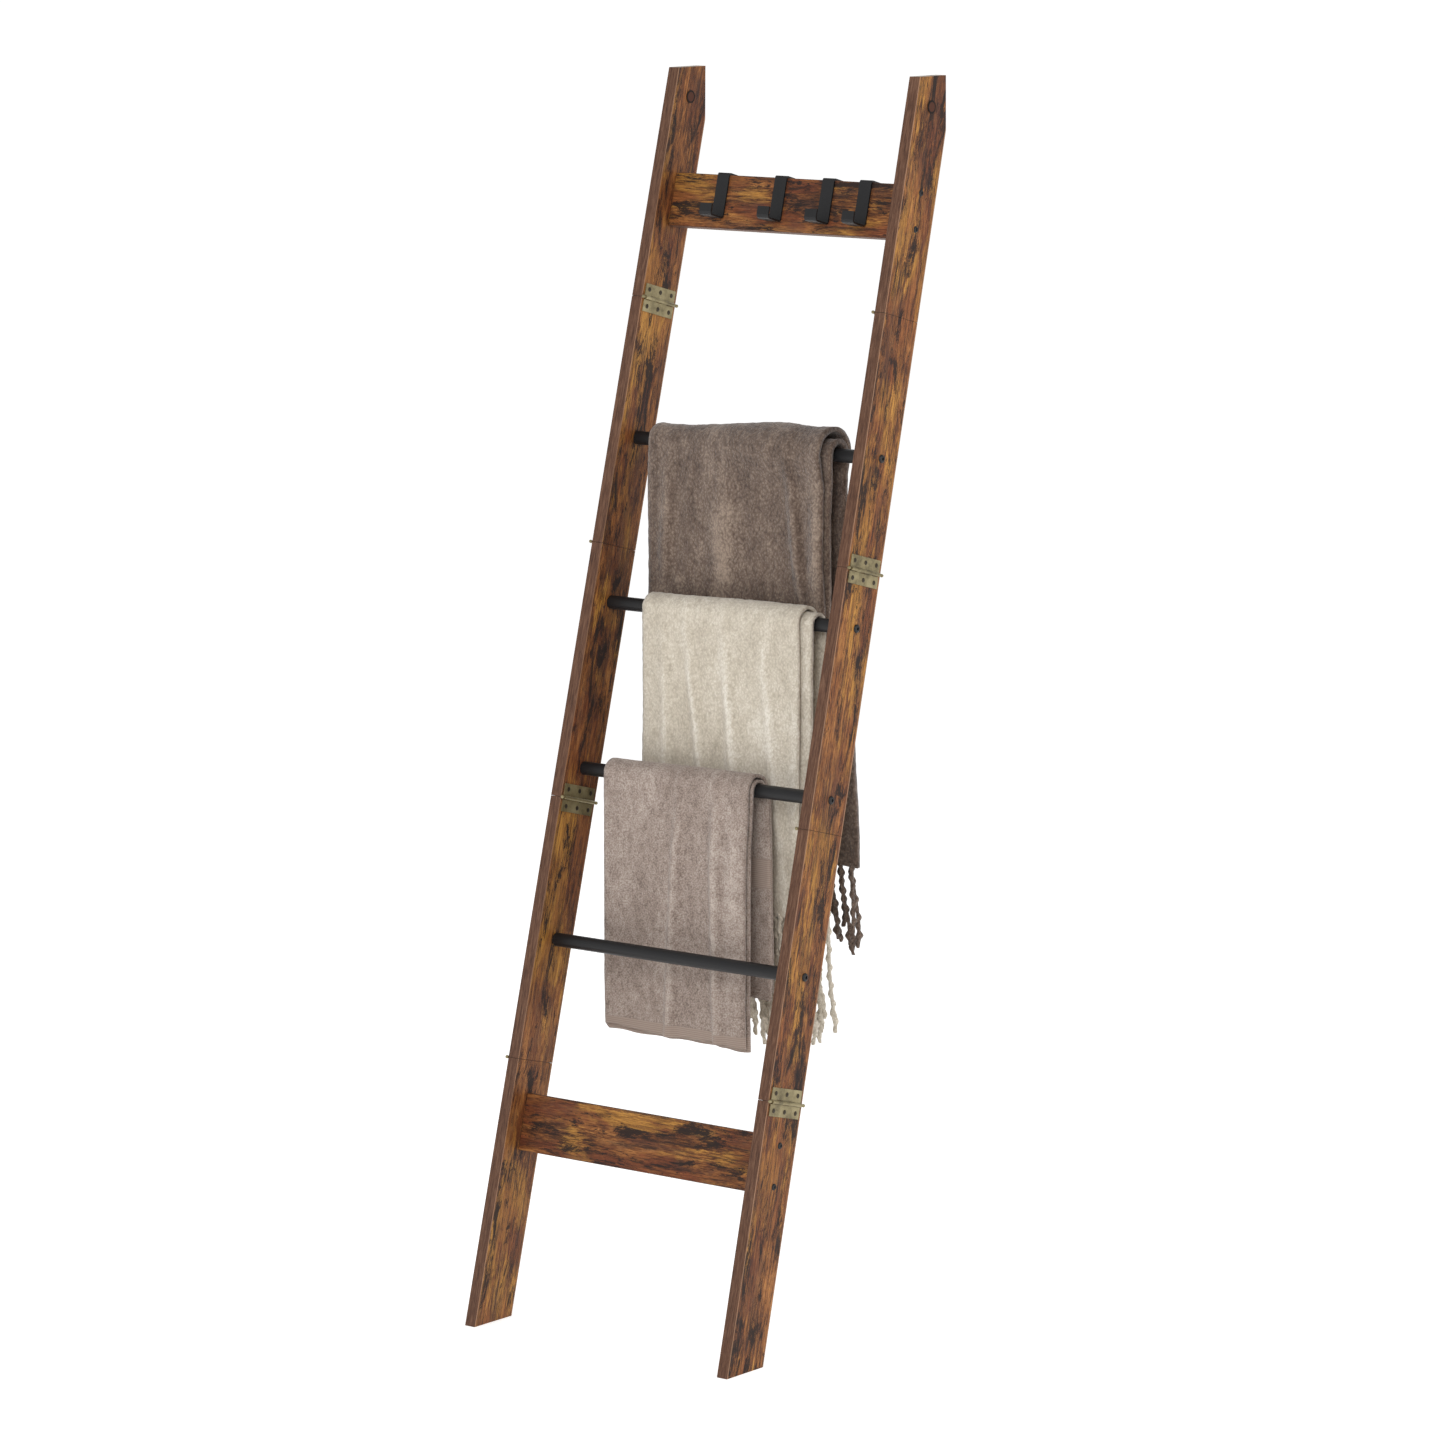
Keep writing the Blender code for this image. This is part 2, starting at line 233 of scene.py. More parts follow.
def wood_finish(name, along, narrow, redness):
    """along: stretch factors down the grain; narrow: world normal of the banded edges.

    The rails also have painted highlight lines along their edges, and pale level cuts at the head and foot.
    """
    finish = Finish(name, Specular_IOR_Level=0.22)
    shift = (0, HALF_DEPTH * math.cos(LEAN), HALF_DEPTH * math.sin(LEAN))
    where = finish.place((LEAN, 0, 0), shift)
    grain_space = finish.stretched(where, along)
    patch_space = finish.stretched(where, [0.22 + 0.78 * part for part in along])
    fine = finish.noise(grain_space, 300, 6, 0.85)
    threads = finish.noise(grain_space, 700, 3, 0.75)
    streaks = (fine - 0.5) * 1.6 + (threads - 0.5) * 1.2
    broad = finish.noise(patch_space, 26, 6, 0.7, 0.6)
    colour = finish.ramp(broad + streaks * 0.9, [(0.26, shade(44, 28, 22)), (0.42, shade(98, 58, 33)),
                                                 (0.56, shade(140, 88, 46)), (0.78, shade(190, 132, 74))])
    honey = finish.step(finish.noise(patch_space, 17, 4, 0.7, 0.4) + streaks * 0.25, 0.48, 0.58)
    colour = finish.mix(honey * 0.80, colour, finish.ramp(fine, [(0.36, shade(104, 62, 26)),
                                                                (0.62, shade(206, 150, 70))]))
    rust = finish.step(finish.noise(patch_space, 21, 4, 0.65, 0.3) + streaks * 0.2, 0.47, 0.58)
    colour = finish.mix(rust * redness, colour, finish.ramp(fine, [(0.36, shade(58, 28, 20)),
                                                                   (0.62, shade(134, 72, 44))]))
    smoke = finish.step(finish.noise(patch_space, 31, 5, 0.75) + streaks * 0.3, 0.50, 0.62)
    colour = finish.mix(smoke * 0.45, colour, shade(78, 54, 46))
    dark = finish.step(finish.noise(patch_space, 36, 9, 0.78, 0.5) + streaks * 0.22, 0.545, 0.575)
    colour = finish.mix(dark * 0.95, colour, shade(34, 27, 26))
    split = finish.step(finish.noise(grain_space, 190, 6, 0.85) + (threads - 0.5) * 0.3, 0.54, 0.59)
    colour = finish.mix(split * 0.72, colour, shade(46, 31, 26))
    knot = finish.add("TexVoronoi", {"distance": "EUCLIDEAN"},
                      {"Vector": patch_space, "Scale": 9.0, "Randomness": 1.0}, "Distance")
    ring = 1 - finish.step(knot + streaks * 0.05, 0.02, 0.07)
    colour = finish.mix(ring * 0.85, colour, shade(38, 26, 22))
    band_tone = finish.ramp(fine * 0.6 + threads * 0.4, [(0.38, shade(54, 35, 27)), (0.5, shade(94, 64, 48)),
                                                          (0.62, shade(128, 96, 76))])
    normal = finish.add("NewGeometry", output="Normal")
    facing = abs(finish.add("VectorMath", {"operation": "DOT_PRODUCT"}, {0: normal, 1: narrow}, "Value"))
    band = finish.step(facing, 0.55, 0.75)
    colour = finish.mix(band, colour, band_tone)
    parts = finish.tree.nodes.new("ShaderNodeSeparateXYZ")
    connect(finish.tree, parts.inputs[0], where)
    depth = Socket(finish.tree, parts.outputs[1])
    # Painted highlight: a pale line along the edges of the rails' wide faces, where a rounded edge would
    # catch the light.
    near_front = 1 - finish.step(depth + (fine - 0.5) * 0.0012, LINE_WIDTH * 0.6, LINE_WIDTH * 1.4)
    near_back = finish.step(depth, PLANK_WIDTH - LINE_WIDTH * 1.4, PLANK_WIDTH - LINE_WIDTH * 0.6)
    edge_highlight = (near_front + near_back) * (1 - band)
    is_rail = narrow[2] < 0.5
    if is_rail:
        colour = finish.mix(edge_highlight * 0.8, colour, shade(160, 122, 94))
        up = finish.add("VectorMath", {"operation": "DOT_PRODUCT"}, {0: normal, 1: (0, 0, 1)}, "Value")
        cut = finish.step(abs(up), 0.93, 0.98)
        colour = finish.mix(cut, colour, finish.mix(fine, shade(148, 132, 118), shade(176, 162, 146)))
    finish.set(Base_Color=colour, Roughness=0.52 + (fine - 0.5) * 0.3 + dark * 0.12)
    finish.bump(fine * 0.6 + threads * 0.25 - split * 0.5, 0.0004, 0.5)
    return finish


rail_wood = wood_finish("rail_wood", along=(1, 1, 0.06), narrow=(0, -math.cos(LEAN), math.sin(LEAN)),
                        redness=0.5)
board_wood = wood_finish("board_wood", along=(0.06, 1, 1), narrow=(0, math.sin(LEAN), math.cos(LEAN)),
                         redness=0.8)
coat("rail_", rail_wood)
coat("board_", board_wood)

# Tubes, hooks and their screws: mild steel with a fine matte black powder coat.
powder = Finish("black_powder_coat", Metallic=0.0, Specular_IOR_Level=0.35)
powder_place = powder.place()
orange_peel = powder.noise(powder_place, 900, 2)
handling = powder.noise(powder_place, 22, 4)
powder.set(Base_Color=powder.mix(handling, shade(18, 18, 19), shade(29, 29, 31)),
           Roughness=0.42 + (handling - 0.5) * 0.2 + (orange_peel - 0.5) * 0.1)
powder.bump(orange_peel, 0.00012, 0.5)
for start in ("rung_", "hook_", "screw_"):
    coat(start, powder)

# Hinges: stamped steel plated antique bronze, rubbed bright on the high spots
# and dark where the plating has toned.
bronze = Finish("antique_bronze", Metallic=0.55)
bronze_place = bronze.place()
toning = bronze.noise(bronze_place, 45, 5, 0.6)
speckle = bronze.noise(bronze_place, 600, 3)
bronze_colour = bronze.ramp(toning + (speckle - 0.5) * 0.2,
                            [(0.30, shade(96, 86, 60)), (0.5, shade(138, 126, 92)),
                             (0.72, shade(166, 154, 118))])
bronze.set(Base_Color=bronze_colour, Roughness=0.40 + (toning - 0.5) * 0.35)
bronze.bump(speckle, 0.00015, 0.5)
coat("hinge_", bronze)
toned = Finish("toned_bronze_screws", Metallic=0.5)
toned_grain = toned.noise(toned.place(), 700, 3)
toned.set(Base_Color=toned.mix(toned_grain, shade(40, 34, 26), shade(74, 64, 46)),
          Roughness=0.45 + (toned_grain - 0.5) * 0.3)

# Cover caps: thin moulded discs, darker than the wood they sit on.
cap_finish = Finish("brown_cap", Specular_IOR_Level=0.15)
cap_grain = cap_finish.noise(cap_finish.place(), 500, 3)
cap_low, cap_high = (Vector(corner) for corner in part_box("cover_cap_left"))
cap_flat = cap_finish.stretched(cap_finish.place(shift=-(cap_low + cap_high) / 2), (0, 1, 1))
cap_reach = cap_finish.add("VectorMath", {"operation": "LENGTH"}, {0: cap_flat}, "Value")
cap_radius = (cap_high.z - cap_low.z) / 2
# Painted shade: a near-black ring towards the edge of each cap.
cap_edge_shade = cap_finish.step(cap_reach, cap_radius * 0.66, cap_radius * 0.80)
cap_face = cap_finish.mix(cap_grain, shade(62, 35, 25), shade(88, 51, 36))
cap_finish.set(Base_Color=cap_finish.mix(cap_edge_shade, cap_face, shade(26, 17, 14)),
               Roughness=0.5 + (cap_grain - 0.5) * 0.2)
cap_finish.bump(cap_grain, 0.0001, 0.4)
coat("cover_cap", cap_finish)


def to_mesh_piece(name, bm, finish):
    """Finish a bmesh as a piece of the ladder."""
    bmesh.ops.remove_doubles(bm, verts=bm.verts, dist=0.000001)
    bmesh.ops.recalc_face_normals(bm, faces=bm.faces)
    mesh = bpy.data.meshes.new(name)
    bm.to_mesh(mesh)
    bm.free()
    mesh.shade_smooth()
    mesh.set_sharp_from_angle(angle=math.radians(40))
    mesh.materials.append(finish.material)
    obj = bpy.data.objects.new(name, mesh)
    bpy.context.scene.collection.objects.link(obj)
    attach(obj, "ladder")
    return obj


def screw_head(bm, place, radius, height, drive):
    """A low domed head with a sunk drive, on the +Z side of a matrix."""
    top_radius = radius * 0.72
    start = len(bm.verts)
    bmesh.ops.create_cone(bm, cap_ends=True, segments=16, radius1=radius, radius2=top_radius,
                          depth=height, matrix=place @ Matrix.Translation((0, 0, height / 2)))
    bm.verts.ensure_lookup_table()
    own = set(bm.verts[start:])
    axis = place.to_3x3() @ Vector((0, 0, 1))
    discs = [face for face in bm.faces if len(face.verts) == 16 and own.issuperset(face.verts)]
    top = max(discs, key=lambda face: face.calc_center_median() @ axis)
    bmesh.ops.inset_individual(bm, faces=[top], thickness=top_radius - drive, depth=0)
    bmesh.ops.inset_individual(bm, faces=[top], thickness=drive * 0.12, depth=-height * 0.7)


# Hinge screws: six small countersunk screws to a hinge, one row to a leaf.
LEAF_FACE = 0.0016
HINGE_SCREW_ROW = 0.0125
HINGE_SCREW_STEPS = (-0.026, 0.0, 0.026)
HINGE_SCREW = {"radius": 0.0034, "height": 0.0007, "drive": 0.0011}
JOINTS = (0.3939, 0.7795, 1.1543, 1.5191)
FOOT_HALF = 0.2410
TAPER = 0.00753
PLANK_THICK = 0.018


def rail_frame(side):
    """The rail's own axes in the world: X across its thickness, Y its width, Z along it."""
    sign = -1 if side == "left" else 1
    lean = Matrix.Translation((0, -HALF_DEPTH, 0)) @ Matrix.Rotation(-LEAN, 4, "X")
    line = Matrix.Translation((sign * (FOOT_HALF - PLANK_THICK / 2), 0, 0))
    return lean @ line @ Matrix.Rotation(-sign * math.atan(TAPER), 4, "Y")


for side in ("left", "right"):
    for index, along in enumerate(JOINTS):
        outward = (-1 if side == "left" else 1) * (1 if index % 2 == 0 else -1)
        heads = bmesh.new()
        for row in (-HINGE_SCREW_ROW, HINGE_SCREW_ROW):
            for step in HINGE_SCREW_STEPS:
                spot = (outward * (PLANK_THICK / 2 + LEAF_FACE), PLANK_WIDTH / 2 + step, along + row)
                place = (rail_frame(side) @ Matrix.Translation(spot)
                         @ Matrix.Rotation(outward * math.pi / 2, 4, "Y"))
                screw_head(heads, place, **HINGE_SCREW)
        to_mesh_piece("hinge_screws_" + side + "_" + str(index + 1), heads, toned)

# Joint seams: the planks' sawn ends meet at each hinge; a thin dark plate there is painted shade in the gap
# between them.
SEAM_THICK = 0.00012
SEAM_INSET = 0.0008
# The plate's dark colour is painted shade in the gap between the plank ends.
gap_shade_finish = Finish("painted_gap_shade", Roughness=0.9)
gap_shade_grain = gap_shade_finish.noise(gap_shade_finish.place(), 500, 3)
gap_shade_finish.set(Base_Color=gap_shade_finish.mix(gap_shade_grain, shade(26, 18, 14), shade(48, 33, 26)))
for side in ("left", "right"):
    for index, along in enumerate(JOINTS):
        plate = bmesh.new()
        size = Matrix.Diagonal((PLANK_THICK - SEAM_INSET, PLANK_WIDTH - SEAM_INSET, SEAM_THICK, 1))
        place = rail_frame(side) @ Matrix.Translation((0, PLANK_WIDTH / 2, along))
        bmesh.ops.create_cube(plate, size=1, matrix=place @ size)
        to_mesh_piece("joint_shade_plate_" + side + "_" + str(index + 1), plate, gap_shade_finish)

# Board screws: two black socket heads through each rail into the board ends.
BOARD_SCREWS = {"bottom": (0.2750, 0.3336), "top": (1.6470, 1.6998)}
BOARD_SCREW_DEPTH = 0.0432
BOARD_SCREW_LIFT = 0.0001
BOARD_SCREW = {"radius": 0.0050, "height": 0.0016, "drive": 0.0022}
for side in ("left", "right"):
    sign = -1 if side == "left" else 1
    for board, spots in BOARD_SCREWS.items():
        heads = bmesh.new()
        for along in spots:
            spot = (sign * (PLANK_THICK / 2 + BOARD_SCREW_LIFT), BOARD_SCREW_DEPTH, along)
            place = (rail_frame(side) @ Matrix.Translation(spot)
                     @ Matrix.Rotation(sign * math.pi / 2, 4, "Y"))
            screw_head(heads, place, **BOARD_SCREW)
        to_mesh_piece("board_screws_" + board + "_" + side, heads, powder)

# The cloths: each is folded once down its length, so that the fold lies on the
# left, and hung in an upside-down U over its rung. The inner layer has less of
# the rung to go round, so its hems hang lower.
RUNG_RADIUS = 0.010
RUNG_PLAY = 0.0008
INNER_DROP = 1.2
CROWN_FADE = 0.045


def cloth_path(centre, radius, front_hem, back_hem, travelled):
    """Place and outward normal in the depth and height plane, from the front hem over to the back hem."""
    front = centre.z - front_hem
    over = math.pi * radius
    if travelled < front:
        return -radius, front_hem + travelled, Vector((0, -1, 0))
    if travelled < front + over:
        angle = (travelled - front) / radius
        return (-radius * math.cos(angle), centre.z + radius * math.sin(angle),
                Vector((0, -math.cos(angle), math.sin(angle))))
    return radius, centre.z - (travelled - front - over), Vector((0, 1, 0))


def drape(name, rung, left, rights, thick, spacing, hems, cell, ripple, crown, pile, folds, flare, narrow,
          seed):
    """A folded cloth as a closed sheet.

    rights, narrow: the right edges of the inner and outer layers, and how far each draws in by the front hem.
    crown: how high the top swells at the left and at the right.
    folds: soft ridges down the front, each as top x, bottom x, width, height and reach.
    flare: how far the back spreads at its hem, and the power it grows with.
    """
    low, high = (Vector(corner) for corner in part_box(rung))
    centre = (low + high) / 2
    inner = RUNG_RADIUS + RUNG_PLAY + thick / 2
    middle = inner + spacing / 2
    front_hem, back_hem = hems
    length = (centre.z - front_hem) + math.pi * middle + (centre.z - back_hem)
    turn = math.pi * spacing / 2
    widths = (rights[0] - left, turn, rights[1] - left)
    total = sum(widths)
    across_cells = int(total / cell)
    along_cells = int(length / cell)
    bm = bmesh.new()
    bmesh.ops.create_grid(bm, x_segments=across_cells, y_segments=along_cells, size=0.5)
    offset = Vector((seed * 3.1, seed * 1.7, seed * 0.9))
    for vert in bm.verts:
        across = (vert.co.x + 0.5) * total
        share = vert.co.y + 0.5
        if across < widths[0]:
            x, layer = rights[0] - across, 0.0
        elif across < widths[0] + turn:
            angle = (across - widths[0]) / turn * math.pi
            x = left - spacing / 2 * math.sin(angle)
            layer = spacing * (1 - math.cos(angle)) / 2
        else:
            x, layer = left + across - widths[0] - turn, spacing
        radius = inner + layer
        lower = INNER_DROP * (spacing - layer)
        own_length = (centre.z - front_hem) + math.pi * radius + (centre.z - back_hem) + 2 * lower
        depth, height, normal = cloth_path(centre, radius, front_hem - lower, back_hem - lower,
                                           share * own_length)
        hang = max(0.0, centre.z - height)
        side = -1 if depth < 0 else 1
        point = Vector((x * 5.5, side * 2.0, height * 1.1)) + offset
        wave = noise.noise(point) * 0.7 + 0.3 * noise.noise(point * 2.3)
        push = ripple * wave * min(1.0, 0.25 + hang * 3.0)
        fallen = hang / (centre.z - (front_hem if side < 0 else back_hem))
        rightness = (x - left) / (rights[0] - left)
        outer = layer / spacing
        lift = max(0.0, min(1.0, (height - centre.z + CROWN_FADE) / CROWN_FADE))
        rise = min(1.0, max(0.0, rightness * 1.5 - 0.1))
        rise = rise * rise * (3 - 2 * rise)
        swell = (crown[0] + (crown[1] - crown[0]) * rise) * lift * (0.35 + 0.65 * outer)
        swell *= 0.85 + 0.3 * noise.noise(Vector((x * 14, seed, 0)))
        if side < 0:
            for top_x, low_x, width, ridge, reach in folds:
                off = (x - (top_x + (low_x - top_x) * fallen)) / width
                fade = max(0.0, min(1.0, (reach - fallen) / 0.15))
                push += ridge * math.exp(-off * off) * min(1.0, 0.15 + hang * 7) * fade * (0.4 + 0.6 * outer)
            drawn = 0.75 * min(1.0, hang * 12) + 0.25 * fallen
            x -= (x - left) * drawn * (narrow[0] + (narrow[1] - narrow[0]) * outer)
        else:
            x += flare[0] * rightness * fallen ** flare[1]
        sway = 0.006 * noise.noise(Vector((seed, side, height * 6))) * min(1.0, hang * 4)
        sag = 0.007 * noise.noise(Vector((x * 17, seed * 2.0, side + outer * 0.4))) * min(1.0, hang * 3)
        micro = pile * (noise.noise(Vector((x, depth, height)) * 110 + offset)
                        + 0.5 * noise.noise(Vector((x, depth, height)) * 230))
        vert.co = (Vector((x + sway, centre.y + depth, height + sag))
                   + normal * (push + swell + micro))
    mesh = bpy.data.meshes.new(name)
    bm.to_mesh(mesh)
    bm.free()
    mesh.shade_smooth()
    obj = bpy.data.objects.new(name, mesh)
    bpy.context.scene.collection.objects.link(obj)
    solid = obj.modifiers.new("thickness", "SOLIDIFY")
    solid.thickness = thick
    solid.offset = 0
    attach(obj, "ladder")
    return obj, (total, length)


RIDGE_HIGHLIGHT = 110
RIDGE_WANDER = 0.012


def painted_ridge_highlight(finish, where, rung, front_hem, folds):
    """How much painted highlight lies along the soft ridges down the front, 0 to 1."""
    low, high = (Vector(corner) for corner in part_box(rung))
    centre = (low + high) / 2
    parts = finish.tree.nodes.new("ShaderNodeSeparateXYZ")
    connect(finish.tree, parts.inputs[0], where)
    across, depth, height = (Socket(finish.tree, output) for output in parts.outputs)
    fallen = (centre.z - height) / (centre.z - front_hem)
    wander = finish.noise(finish.stretched(where, (0.4, 1, 1)), 9, 2) - 0.5
    total = None
    for top_x, low_x, width, ridge, _reach in folds:
        off = abs(across + wander * RIDGE_WANDER - (fallen * (low_x - top_x) + top_x))
        line = (1 - finish.step(off, 0.0, width)) * (ridge * RIDGE_HIGHLIGHT)
        total = line if total is None else total + line
    return total * (1 - finish.step(depth, centre.y - 0.004, centre.y)) * finish.step(fallen, 0.02, 0.25)


def plush_finish(name, deep, base, light, clump, tuft, rung, front_hem, folds):
    """Long soft pile: light and dark clumps where the fibres lie different ways, and a painted highlight
    along the soft ridges down the front.
    """
    finish = Finish(name, Roughness=0.95, Sheen_Weight=0.35, Sheen_Roughness=0.5, Specular_IOR_Level=0.15)
    where = finish.place()
    wobble = finish.add("TexNoise", None, {"Vector": where, "Scale": clump, "Detail": 3.0}, 1)
    shaken = finish.add("VectorMath", {"operation": "MULTIPLY_ADD"},
                        {0: wobble, 1: (0.012, 0.012, 0.012), 2: where})
    curls = finish.add("TexVoronoi", {"feature": "SMOOTH_F1"},
                       {"Vector": finish.stretched(shaken, (1, 1, 0.7)), "Scale": tuft, "Smoothness": 0.4},
                       "Distance")
    hairs = finish.noise(where, tuft * 3.2, 4, 0.75)
    clumps = finish.noise(finish.stretched(where, (1, 1, 0.6)), clump, 4, 0.6, 0.4)
    brushed = finish.noise(finish.stretched(where, (1, 1, 0.22)), 14, 4, 0.6)
    tips = 1 - curls * 1.1
    tone = tips * 0.17 + hairs * 0.33 + clumps * 0.22 + brushed * 0.28
    # Painted highlight: the pile is lightened along the soft ridges of the front folds.
    tone = tone + painted_ridge_highlight(finish, where, rung, front_hem, folds) * 0.10
    colour = finish.ramp(tone, [(0.36, deep), (0.5, base), (0.66, light)])
    finish.set(Base_Color=colour)
    finish.bump(tips * 0.5 + hairs * 0.5 + clumps * 0.2, 0.0024, 0.7)
    return finish


# Twisted fringe: each strand is two yarns laid round each other, knotted near
# its end, with the loose end left below the knot.
TWIST_PITCH = 0.013
KNOT_PLACE = 0.88
KNOT_LONG = 0.005
STRAND_RINGS = 52
HEM_JITTER = 0.002


def fringe(name, edge, finish, length, thick, spread, seed):
    """edge: start points along a hem; spread: how far the strands at the right drift sideways."""
    rng = random.Random(seed)
    bm = bmesh.new()
    for start in edge:
        strand = bmesh.new()
        long = length * rng.uniform(0.80, 1.05)
        bmesh.ops.create_cone(strand, cap_ends=True, segments=8, radius1=1, radius2=1, depth=1)
        sides = [e for e in strand.edges if abs(e.verts[0].co.z - e.verts[1].co.z) > 0.5]
        bmesh.ops.subdivide_edges(strand, edges=sides, cuts=STRAND_RINGS)
        phase = rng.uniform(0, 6)
        from_left = start[0] - edge[0][0]
        sideways = spread * from_left / 0.3 - 0.014 * max(0.0, 1 - from_left / 0.02)
        drift = Vector((rng.uniform(-0.010, 0.010) + sideways, rng.uniform(-0.004, 0.004), 0))
        curl = rng.uniform(0.6, 1.6)
        for vert in strand.verts:
            down = 0.5 - vert.co.z
            angle = math.atan2(vert.co.y, vert.co.x)
            lay = phase + down * long / TWIST_PITCH * math.pi
            lobe = 0.50 + 0.50 * abs(math.cos(angle - lay))
            knot = math.exp(-((down - KNOT_PLACE) * long / KNOT_LONG) ** 2)
            end = 1 - max(0.0, down - 0.93) / 0.07 * 0.25
            radius = thick * (lobe * end + 0.45 * knot)
            bow = Vector((math.sin(down * 6 + phase) * 0.0030 * curl, math.cos(down * 5 + phase) * 0.0014, 0))
            twirl = Vector((math.cos(lay), math.sin(lay), 0)) * thick * 0.28
            vert.co = (Vector(start) + drift * down + bow * down + twirl
                       + Vector((math.cos(angle) * radius, math.sin(angle) * radius, 0.006 - down * long)))
        piece = bpy.data.meshes.new("strand")
        strand.to_mesh(piece)
        strand.free()
        bm.from_mesh(piece)
        bpy.data.meshes.remove(piece)
    return to_mesh_piece(name, bm, finish)


def hem_points(centre_y, offset, left, right, height, count, seed):
    """Where the strands of one layer start, evenly spread along its hem."""
    rng = random.Random(seed)
    pitch = (right - left) / count
    return [(left + pitch * (index + 0.5) + rng.uniform(-HEM_JITTER, HEM_JITTER),
             centre_y + offset + rng.uniform(-HEM_JITTER, HEM_JITTER),
             height + rng.uniform(-HEM_JITTER, HEM_JITTER)) for index in range(count)]


THROW_CELL = 0.0044
THROW_PILE = 0.0010


def throw(name, rung, left, rights, thick, spacing, hems, fringe_lengths, finish, strands, strand_thick,
          ripple, crown, folds, flare, narrow, spread, seed):
    """A folded throw with a fringe at both ends of both layers."""
    cloth, flat = drape(name + "_cloth", rung, left, rights, thick, spacing, hems, THROW_CELL, ripple, crown,
                        THROW_PILE, folds, flare, narrow, seed)
    cloth.data.materials.append(finish.material)
    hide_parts(name)
    low, high = (Vector(corner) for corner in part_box(rung))
    centre_y = (low.y + high.y) / 2
    inner = RUNG_RADIUS + RUNG_PLAY + thick / 2
    for end, sign, hem, long in zip(("front", "back"), (-1, 1), hems, fringe_lengths):
        edge = []
        for layer, right, drawn in ((inner, rights[0], narrow[0]), (inner + spacing, rights[1], narrow[1])):
            reach = right + flare[0] if sign > 0 else right - (right - left) * drawn
            edge += hem_points(centre_y, sign * layer, left + 0.004, reach - 0.002,
                               hem - INNER_DROP * (inner + spacing - layer), strands, seed + 7)
        fringe(name + "_fringe_" + end, edge, finish, long, strand_thick,
                              spread, seed + (1 if end == "front" else 2))


# Dark throw: deep brown plush on the highest rung, longer behind than in front.
DARK_FOLDS = ((-0.130, -0.150, 0.010, 0.006, 0.62), (-0.030, -0.045, 0.022, 0.005, 0.62),
              (0.085, 0.125, 0.008, 0.008, 0.62), (0.138, 0.138, 0.013, 0.007, 0.62))
DARK_HEMS = (0.915, 0.678)
dark = plush_finish("dark_plush_pile", shade(62, 49, 41), shade(106, 89, 78), shade(160, 142, 126),
                    clump=60, tuft=300, rung="rung_high", front_hem=DARK_HEMS[0], folds=DARK_FOLDS)
throw("throw_dark", "rung_high", left=-0.168, rights=(0.157, 0.148), thick=0.0075, spacing=0.0092,
      hems=DARK_HEMS, fringe_lengths=(0.085, 0.135), finish=dark, strands=17,
      strand_thick=0.0042, ripple=0.0040, crown=(-0.003, 0.015), folds=DARK_FOLDS, flare=(0.024, 1.3),
      narrow=(0.02, 0.0), spread=0.012, seed=3)

# Cream throw: the same make in cream on the second rung.
CREAM_FOLDS = ((-0.100, -0.085, 0.009, 0.005, 0.8), (-0.060, 0.000, 0.008, 0.008, 0.7),
               (0.010, 0.050, 0.010, 0.008, 0.7), (0.080, 0.125, 0.011, 0.006, 0.8),
               (0.140, 0.140, 0.008, 0.003, 0.9))
CREAM_HEMS = (0.603, 0.631)
cream = plush_finish("cream_plush_pile", shade(174, 163, 146), shade(205, 195, 178), shade(240, 234, 222),
                     clump=60, tuft=330, rung="rung_mid_high", front_hem=CREAM_HEMS[0], folds=CREAM_FOLDS)
throw("throw_cream", "rung_mid_high", left=-0.136, rights=(0.167, 0.148), thick=0.0048, spacing=0.0060,
      hems=CREAM_HEMS, fringe_lengths=(0.178, 0.222), finish=cream, strands=22,
      strand_thick=0.0042, ripple=0.0028, crown=(0.0, 0.004), folds=CREAM_FOLDS, flare=(0.012, 1.0),
      narrow=(0.01, 0.0), spread=0.014, seed=11)

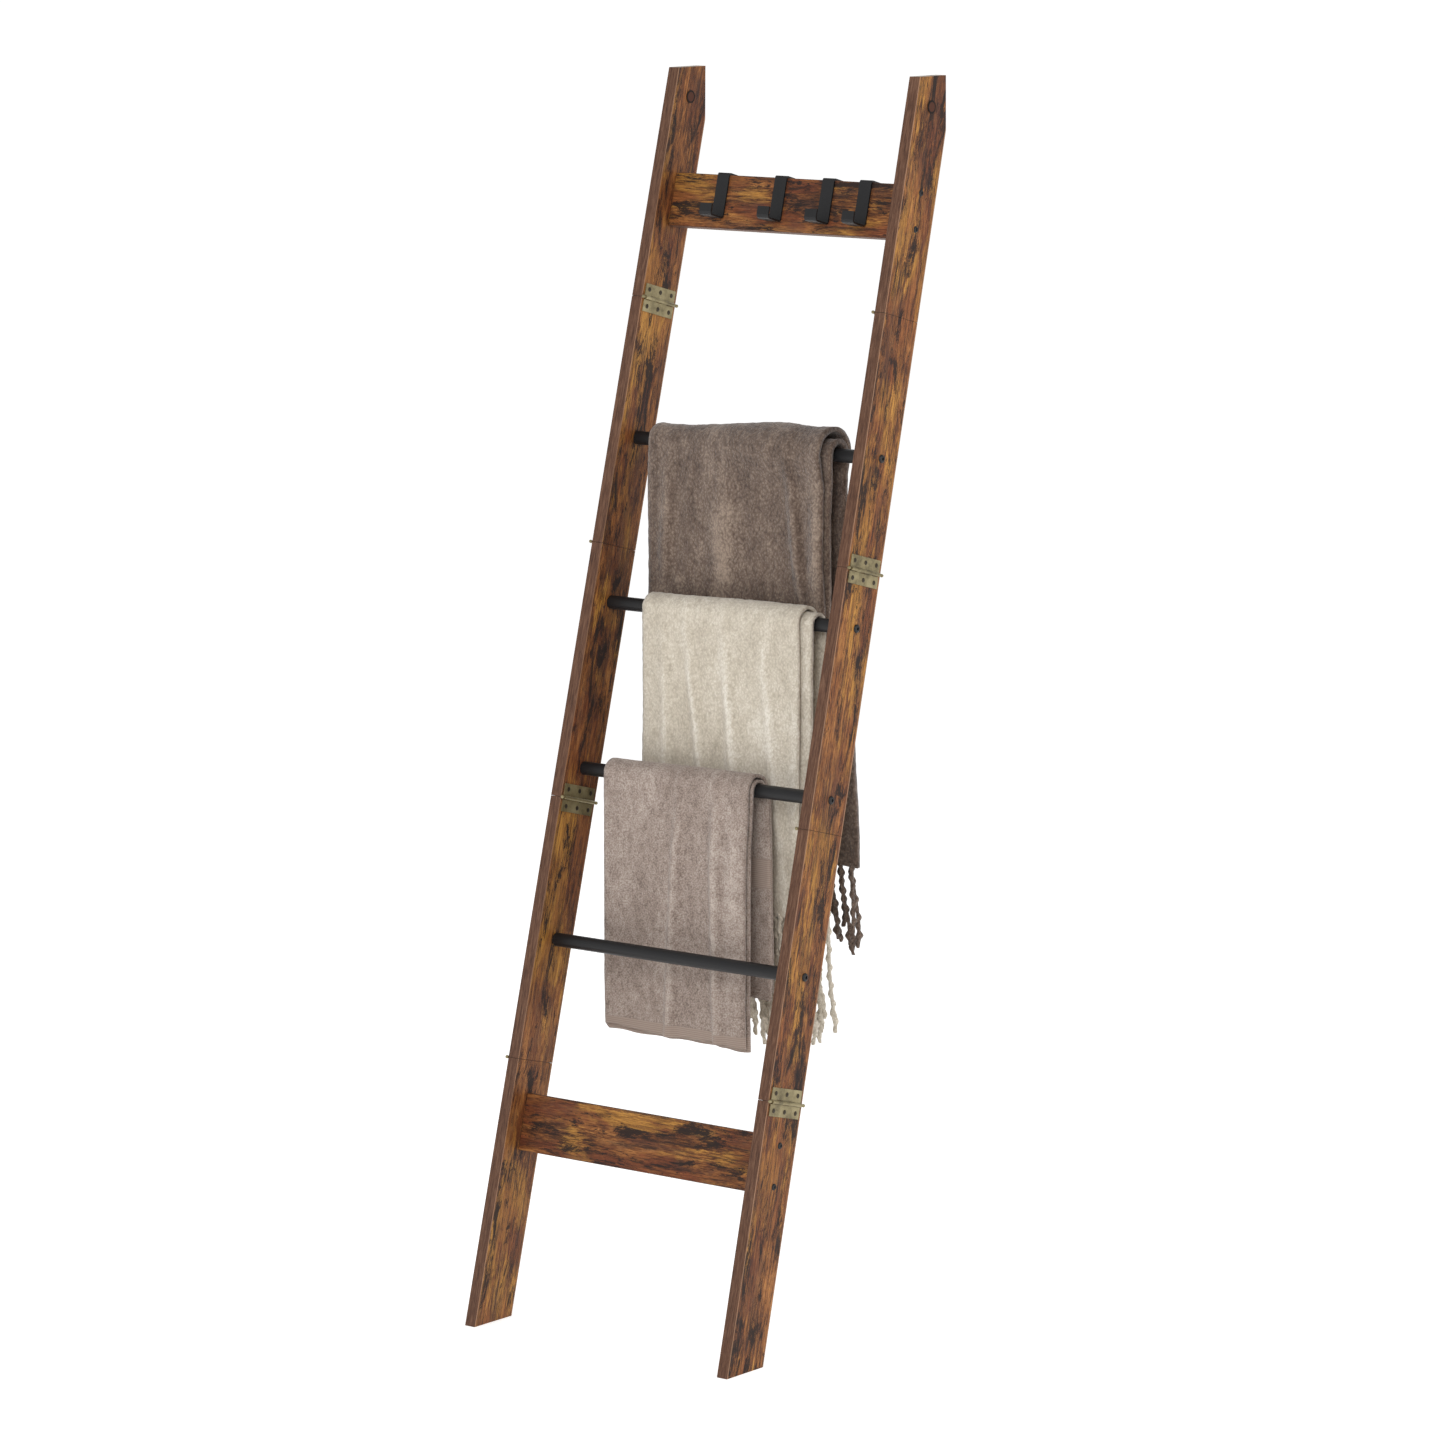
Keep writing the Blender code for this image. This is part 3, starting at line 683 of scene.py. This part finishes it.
# Bath towel: taupe terry loops with a flat woven border at each end.
TOWEL_FOLDS = ((-0.020, -0.040, 0.008, 0.010, 2.0), (0.046, 0.058, 0.010, 0.014, 2.0),
               (0.082, 0.082, 0.026, 0.010, 2.0))
terry = Finish("taupe_terry_loops", Roughness=0.95, Sheen_Weight=0.25, Sheen_Roughness=0.5,
               Specular_IOR_Level=0.15)
terry_place = terry.place()
terry_parts = terry.tree.nodes.new("ShaderNodeSeparateXYZ")
connect(terry.tree, terry_parts.inputs[0], terry_place)
terry_height = Socket(terry.tree, terry_parts.outputs[2])
terry_depth = Socket(terry.tree, terry_parts.outputs[1])
TOWEL_HEMS = (0.420, 0.491)
towel, towel_flat = drape("towel_cloth", "rung_mid_low", left=-0.160, rights=(0.107, 0.105), thick=0.0046,
                          spacing=0.0058, hems=TOWEL_HEMS, cell=0.0042, ripple=0.0026, crown=(0.0, 0.003),
                          pile=0.0006, folds=TOWEL_FOLDS, flare=(0.013, 0.25), narrow=(0.022, 0.019),
                          seed=19)
TOWEL_MIDDLE = sum(corner[1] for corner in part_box("rung_mid_low")) / 2
BORDER_TOP = 0.434
BACK_BAND = (0.647, 0.690)
in_front = 1 - terry.step(terry_depth, TOWEL_MIDDLE - 0.002, TOWEL_MIDDLE + 0.002)
front_border = in_front * (1 - terry.step(terry_height, BORDER_TOP - 0.001, BORDER_TOP + 0.001))
back_band = (terry.step(terry_height, BACK_BAND[0] - 0.001, BACK_BAND[0] + 0.001)
             * (1 - terry.step(terry_height, BACK_BAND[1] - 0.001, BACK_BAND[1] + 0.001)) * (1 - in_front))
border = front_border + back_band
bobbles = 1 - terry.add("TexVoronoi", {"feature": "SMOOTH_F1"},
                        {"Vector": terry_place, "Scale": 430.0, "Smoothness": 0.3}, "Distance")
loops = bobbles * 0.6 + terry.noise(terry_place, 700, 4, 0.75) * 0.4
mottled = terry.noise(terry.stretched(terry_place, (1, 1, 0.6)), 90, 4, 0.65, 0.4)
rubbed = terry.noise(terry.stretched(terry_place, (1, 1, 0.3)), 12, 3)
# Painted highlight: the terry is lightened along the soft ridges of the front folds.
terry_ridge_highlight = painted_ridge_highlight(terry, terry_place, "rung_mid_low", TOWEL_HEMS[0], TOWEL_FOLDS)
terry_colour = terry.ramp(loops * 0.42 + mottled * 0.33 + rubbed * 0.25 + terry_ridge_highlight * 0.06,
                          [(0.38, shade(120, 105, 96)), (0.52, shade(158, 142, 132)),
                           (0.70, shade(200, 187, 177))])
ribs = terry.add("TexWave", {"wave_type": "BANDS", "bands_direction": "Z"},
                 {"Vector": terry_place, "Scale": 110.0, "Distortion": 0.4})
woven = terry.mix(ribs, shade(146, 128, 118), shade(166, 150, 138))
terry.set(Base_Color=terry.mix(border, terry_colour, woven))
terry.bump((loops * 0.8 + mottled * 0.3) * (1 - border) + ribs * border * 0.12, 0.0024, 0.8)
towel.data.materials.append(terry.material)
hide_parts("towel")
